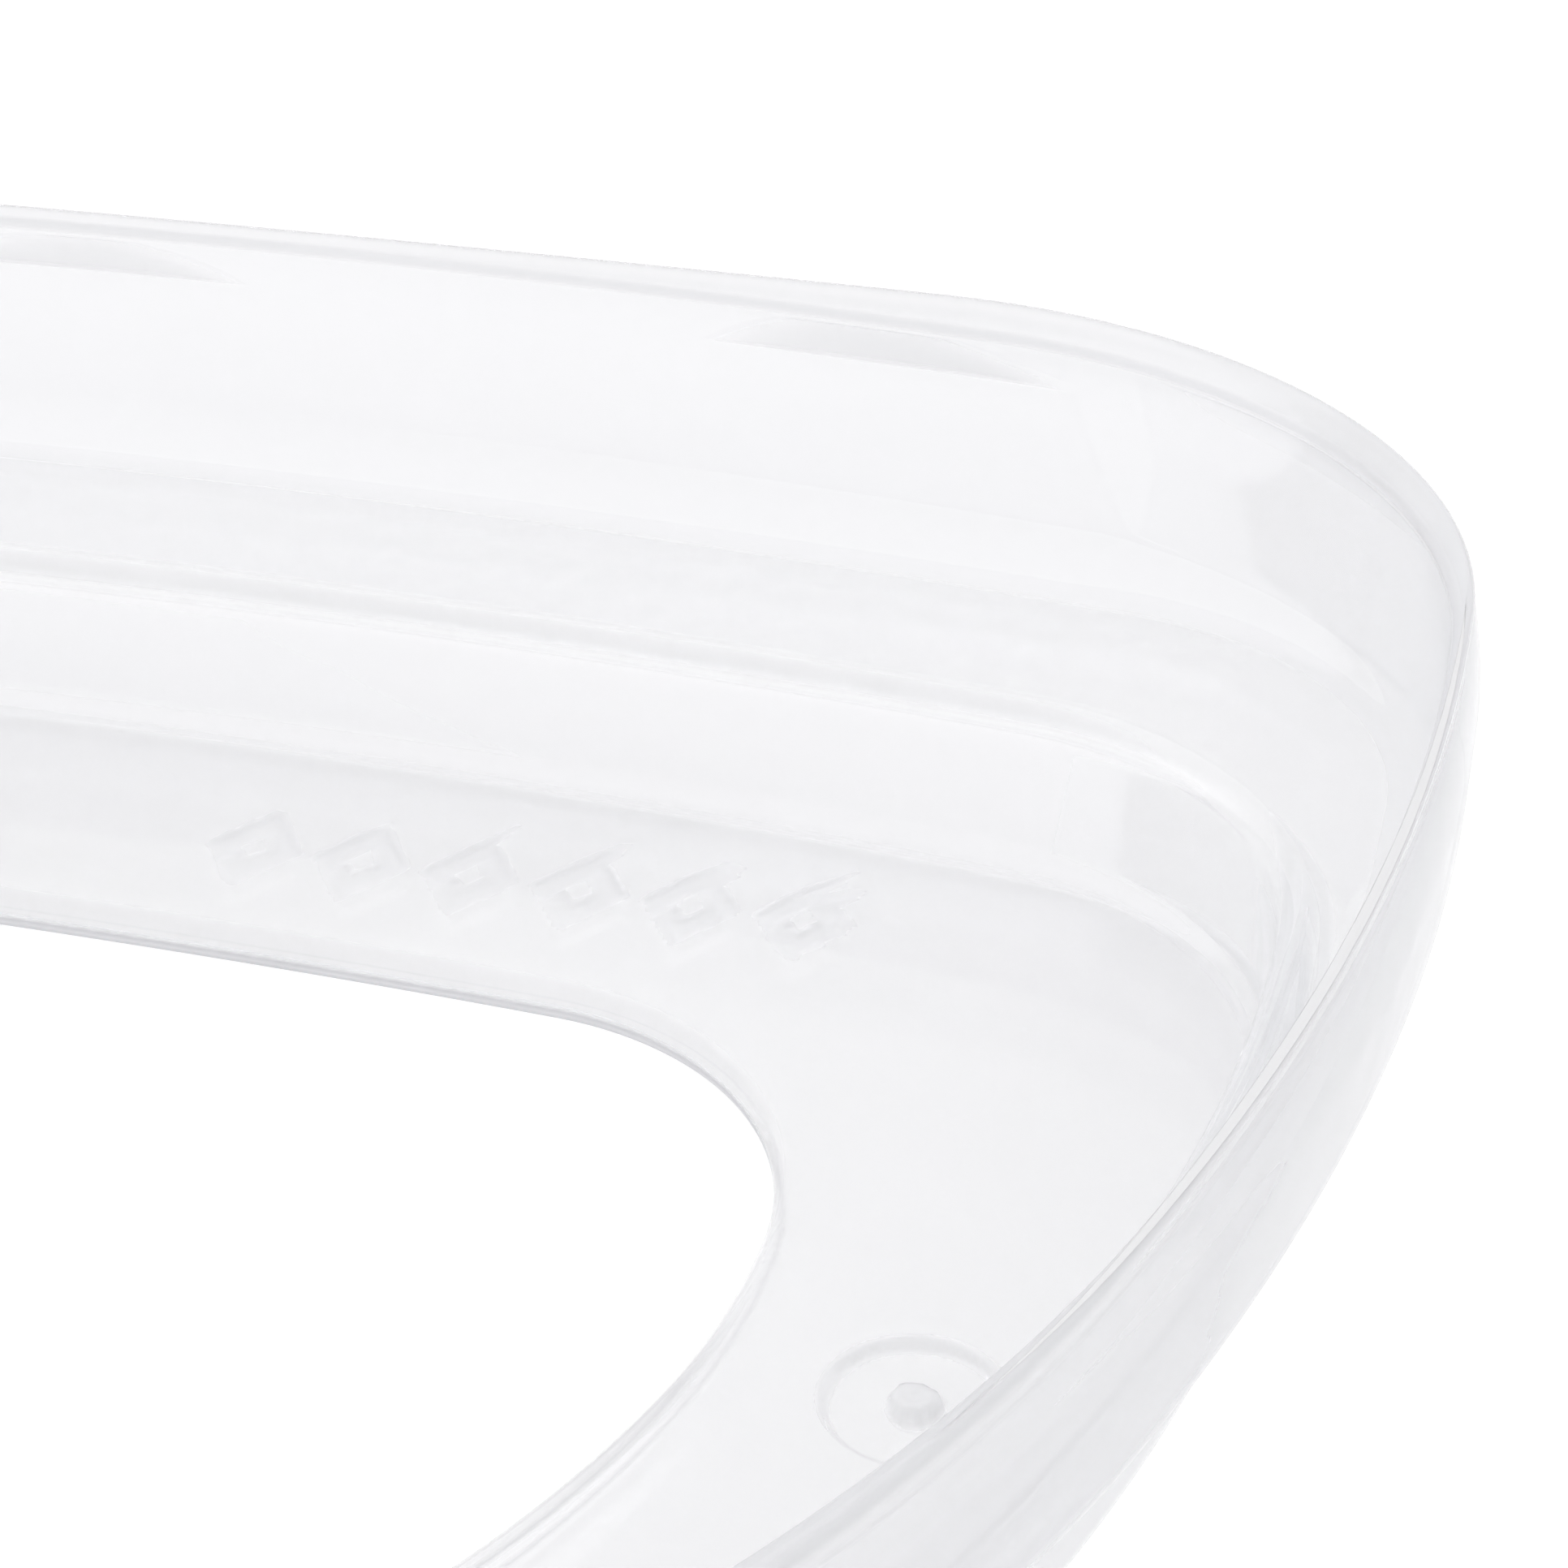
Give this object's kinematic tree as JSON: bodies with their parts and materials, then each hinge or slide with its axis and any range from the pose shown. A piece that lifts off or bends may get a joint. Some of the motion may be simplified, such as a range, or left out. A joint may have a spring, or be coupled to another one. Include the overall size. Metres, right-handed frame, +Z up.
{
  "type": "cheek retractor",
  "caption": "Clear moulded ring that holds the lips and cheeks open: stepped section with floor band, ledge, outer wall and flared lip round a mouth window.",
  "frame": {"origin": "underside of the floor, at the middle of the overall length and depth", "axes": "+X to the right along the long straight side, +Y towards the long straight side, +Z up from the floor towards the lip of the outer wall"},
  "size_m": [0.104, 0.0864, 0.0146],
  "materials": {
    "clear_plastic": "glossy, clear and slightly milky moulded plastic"
  },
  "bodies": {
    "left_half": {"left_half": "clear_plastic", "upper_flex_band": "clear_plastic", "lower_flex_band": "clear_plastic"},
    "right_half": {"right_half": "clear_plastic"}
  },
  "joints": [
    {"name": "squeeze_fold", "type": "hinge", "parent": "left_half", "child": "right_half", "pos_m": [0, 0, 0.00065], "axis": [0, -1, 0], "range_deg": [0, 45], "stiffness_Nm_per_rad": 1, "deforming": ["upper_flex_band", "lower_flex_band"]}
  ]
}
